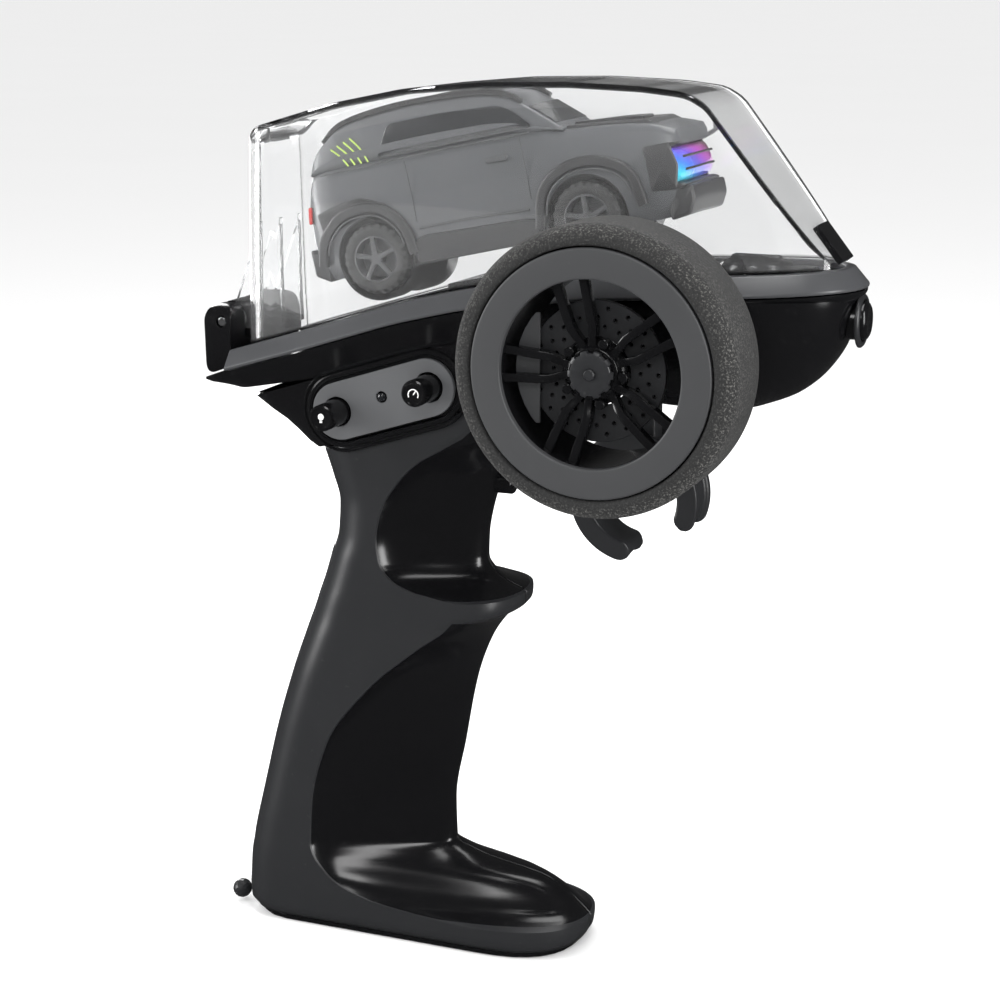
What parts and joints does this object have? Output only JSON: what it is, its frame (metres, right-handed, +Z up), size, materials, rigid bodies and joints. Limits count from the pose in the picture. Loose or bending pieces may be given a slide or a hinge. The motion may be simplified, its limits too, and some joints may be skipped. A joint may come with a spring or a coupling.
{
  "type": "radio transmitter controller",
  "caption": "Pistol-grip radio transmitter with a foam steering wheel, finger trigger, push buttons and a hinged clear dome over a docked model car.",
  "frame": {"origin": "on the foot's flat underside, below the grip", "axes": "+Z up, +X forwards, steering wheel on -Y"},
  "size_m": [0.1462, 0.067, 0.1944],
  "materials": {
    "gloss_black": "high-gloss moulded",
    "satin_grey": "satin moulded",
    "panel_grey": "satin moulded",
    "foam": "open-cell foam",
    "clear_plastic": "clear moulded",
    "spring_steel": "bright",
    "brass": "bright",
    "board": "solder mask and black mouldings",
    "cell": "wrapped cell",
    "car_grey": "satin paint",
    "car_tyre": "moulded rubber",
    "lamp": "iridescent coated lens",
    "led": "diffuse lens"
  },
  "bodies": {
    "housing": {"foot_base_plate": "gloss_black", "head_right_shell": "gloss_black", "head_left_shell": "gloss_black", "deck_tray": "gloss_black", "tail_fairing": "gloss_black", "display_ramp": "gloss_black", "car_cabin": "gloss_black", "car_chassis": "gloss_black", "grip_right_shell": "satin_grey", "grip_left_shell": "satin_grey", "lanyard_lug": "satin_grey", "rim_band": "satin_grey", "latch_bezel": "satin_grey", "steering_bush": "satin_grey", "control_panel_right": "panel_grey", "control_panel_left": "panel_grey", "dome_hinge_pin": "spring_steel", "latch_spring": "spring_steel", "grip_screw_lower": "spring_steel", "grip_screw_upper": "spring_steel", "steering_spring": "spring_steel", "trigger_pivot_pin": "spring_steel", "trigger_return_spring": "spring_steel", "battery_contact_lower": "brass", "battery_contact_upper": "brass", "antenna_strip": "brass", "main_circuit_board": "board", "steering_potentiometer": "board", "trigger_potentiometer": "board", "light_switch_body": "board", "speed_switch_body": "board", "power_switch_body": "board", "aux_switch_body": "board", "battery_cell_right": "cell", "battery_cell_left": "cell", "battery_cell_front": "cell", "car_body": "car_grey", "car_lamp_bar": "lamp", "status_led": "led"},
    "steering_wheel": {"foam_tyre": "foam", "wheel_rim": "panel_grey", "wheel_spokes": "gloss_black", "wheel_hub_cap": "panel_grey", "brake_disc": "panel_grey", "brake_caliper": "panel_grey", "steering_shaft": "gloss_black"},
    "trigger_lever": {"trigger": "satin_grey"},
    "light_push": {"light_button": "gloss_black"},
    "speed_push": {"speed_button": "gloss_black"},
    "aux_push": {"aux_button": "panel_grey"},
    "latch_push": {"latch_button": "gloss_black"},
    "power_slide": {"power_slider": "gloss_black"},
    "dome": {"dome_shell": "clear_plastic", "dome_latch_clip": "gloss_black"},
    "door": {"battery_door": "gloss_black"},
    "lock_dial": {"deck_lock_dial": "gloss_black"},
    "car_rear_right": {"car_wheel_rear_right": "car_tyre"},
    "car_rear_left": {"car_wheel_rear_left": "car_tyre"},
    "car_front_right": {"car_wheel_front_right": "car_tyre"},
    "car_front_left": {"car_wheel_front_left": "car_tyre"}
  },
  "joints": [
    {"name": "steering_turn", "type": "hinge", "parent": "housing", "child": "steering_wheel", "pos_m": [0.0536, 0, 0.1405], "axis": [0, -1, 0], "range_deg": [-35, 35], "stiffness_Nm_per_rad": 0.05},
    {"name": "trigger_pull", "type": "hinge", "parent": "housing", "child": "trigger_lever", "pos_m": [0.05, 0, 0.1355], "axis": [0, 1, 0], "range_deg": [-12, 20], "stiffness_Nm_per_rad": 0.04},
    {"name": "light_button_press", "type": "slide", "parent": "housing", "child": "light_push", "axis": [0, 1, 0], "range_m": [0, 0.0015], "stiffness_N_per_m": 300},
    {"name": "speed_button_press", "type": "slide", "parent": "housing", "child": "speed_push", "axis": [0, 1, 0], "range_m": [0, 0.0015], "stiffness_N_per_m": 300},
    {"name": "aux_button_press", "type": "slide", "parent": "housing", "child": "aux_push", "axis": [-1, 0, 0], "range_m": [0, 0.0012], "stiffness_N_per_m": 300},
    {"name": "latch_button_press", "type": "slide", "parent": "housing", "child": "latch_push", "axis": [-1, 0, 0], "range_m": [0, 0.0015], "stiffness_N_per_m": 300},
    {"name": "power_switch_slide", "type": "slide", "parent": "housing", "child": "power_slide", "axis": [0.9527, 0, 0.304], "range_m": [0, 0.003]},
    {"name": "dome_open", "type": "hinge", "parent": "housing", "child": "dome", "pos_m": [-0.043, 0, 0.1408], "axis": [0, -1, 0], "range_deg": [0, 52]},
    {"name": "battery_door_lift", "type": "slide", "parent": "housing", "child": "door", "axis": [-0.9563, 0, 0.2924], "range_m": [0, 0.03]},
    {"name": "lock_dial_turn", "type": "hinge", "parent": "housing", "child": "lock_dial", "pos_m": [0.0735, 0, 0.1557], "axis": [0, 0, 1], "range_deg": [0, 90]},
    {"name": "car_rear_right_spin", "type": "hinge", "parent": "housing", "child": "car_rear_right", "pos_m": [-0.0066, 0, 0.1561], "axis": [0, 1, 0], "continuous": true},
    {"name": "car_rear_left_spin", "type": "hinge", "parent": "housing", "child": "car_rear_left", "pos_m": [-0.0066, 0, 0.1561], "axis": [0, 1, 0], "continuous": true},
    {"name": "car_front_right_spin", "type": "hinge", "parent": "housing", "child": "car_front_right", "pos_m": [0.04132, 0, 0.16681], "axis": [0, 1, 0], "continuous": true},
    {"name": "car_front_left_spin", "type": "hinge", "parent": "housing", "child": "car_front_left", "pos_m": [0.04132, 0, 0.16681], "axis": [0, 1, 0], "continuous": true}
  ]
}
